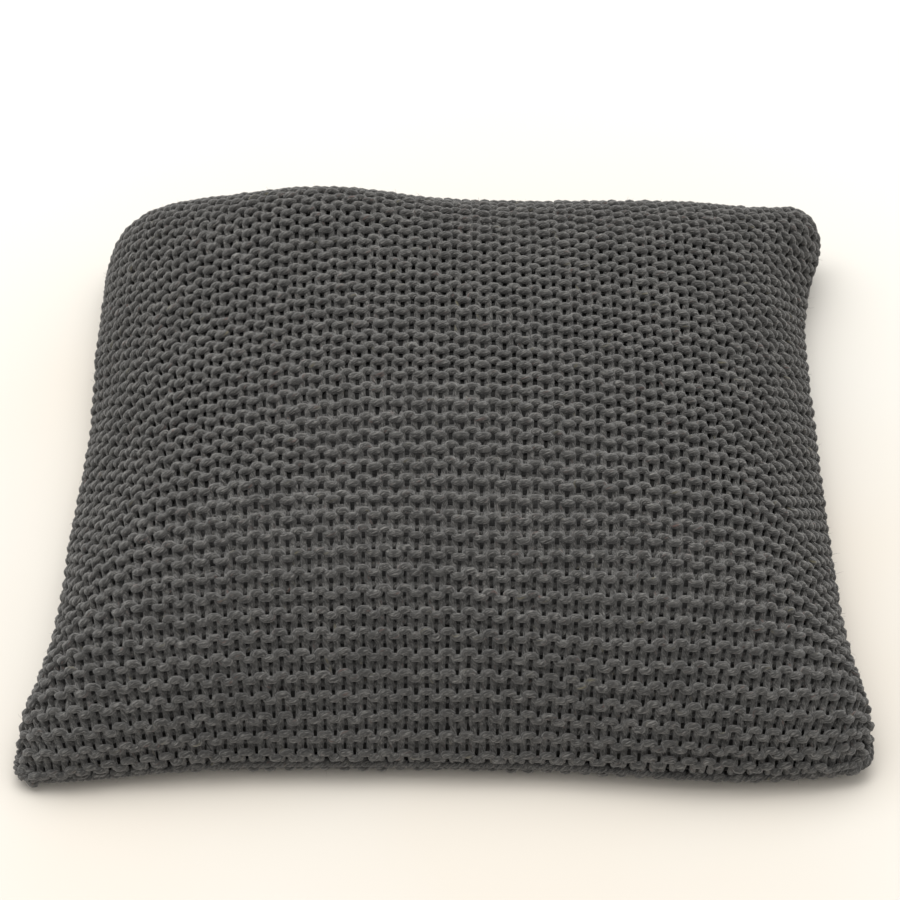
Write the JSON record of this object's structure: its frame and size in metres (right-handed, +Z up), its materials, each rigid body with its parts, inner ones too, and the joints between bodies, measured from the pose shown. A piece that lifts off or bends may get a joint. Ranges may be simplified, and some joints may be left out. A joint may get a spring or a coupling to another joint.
{
  "type": "throw pillow",
  "caption": "Square knitted throw pillow: garter-stitch cover in two panels with a rear zip, dark lining and a removable fibre-filled insert.",
  "frame": {"origin": "on the surface the cushion lies on, under the middle of its outline", "axes": "+Z up through the thickness, +X along the front and rear edges, +Y towards the rear edge with the zip"},
  "size_m": [0.487, 0.487, 0.1405],
  "materials": {
    "knit_yarn": "charcoal melange wool-look yarn, matte with fine fuzz",
    "seam_yarn": "same yarn, pulled tight",
    "lining_cloth": "fine matte woven cotton",
    "zip_tape": "woven polyester tape",
    "zip_coil": "satin nylon coil",
    "zip_metal": "dark lacquered die-cast metal",
    "sewing_thread": "spun polyester thread",
    "insert_cloth": "white non-woven casing",
    "insert_thread": "white overlock thread",
    "fibre_filling": "white hollow-fibre filling",
    "label_satin": "blank white satin ribbon"
  },
  "bodies": {
    "cushion": {"front_knit_panel": "knit_yarn", "back_knit_panel": "knit_yarn", "edge_seam_yarn": "seam_yarn", "lining_front": "lining_cloth", "lining_back": "lining_cloth", "zip_tape_upper": "zip_tape", "zip_tape_lower": "zip_tape", "zip_coil_upper": "zip_coil", "zip_coil_lower": "zip_coil", "zip_top_stops": "zip_metal", "zip_bottom_stop": "zip_metal", "zip_stitches_upper": "sewing_thread", "zip_stitches_lower": "sewing_thread", "insert_casing_upper": "insert_cloth", "insert_casing_lower": "insert_cloth", "insert_edge_seam": "insert_thread", "insert_closing_seam": "insert_thread", "insert_filling": "fibre_filling", "care_label": "label_satin"},
    "slider": {"zip_slider": "zip_metal"},
    "pull_tab": {"zip_pull_tab": "zip_metal"}
  },
  "joints": [
    {"name": "zip_slide", "type": "slide", "parent": "cushion", "child": "slider", "axis": [-1, 0, 0], "range_m": [0, 0.3784]},
    {"name": "pull_tab_swing", "type": "hinge", "parent": "slider", "child": "pull_tab", "pos_m": [0.1892, 0.23205, 0.014], "axis": [0, 0, -1], "range_deg": [0, 150]}
  ]
}
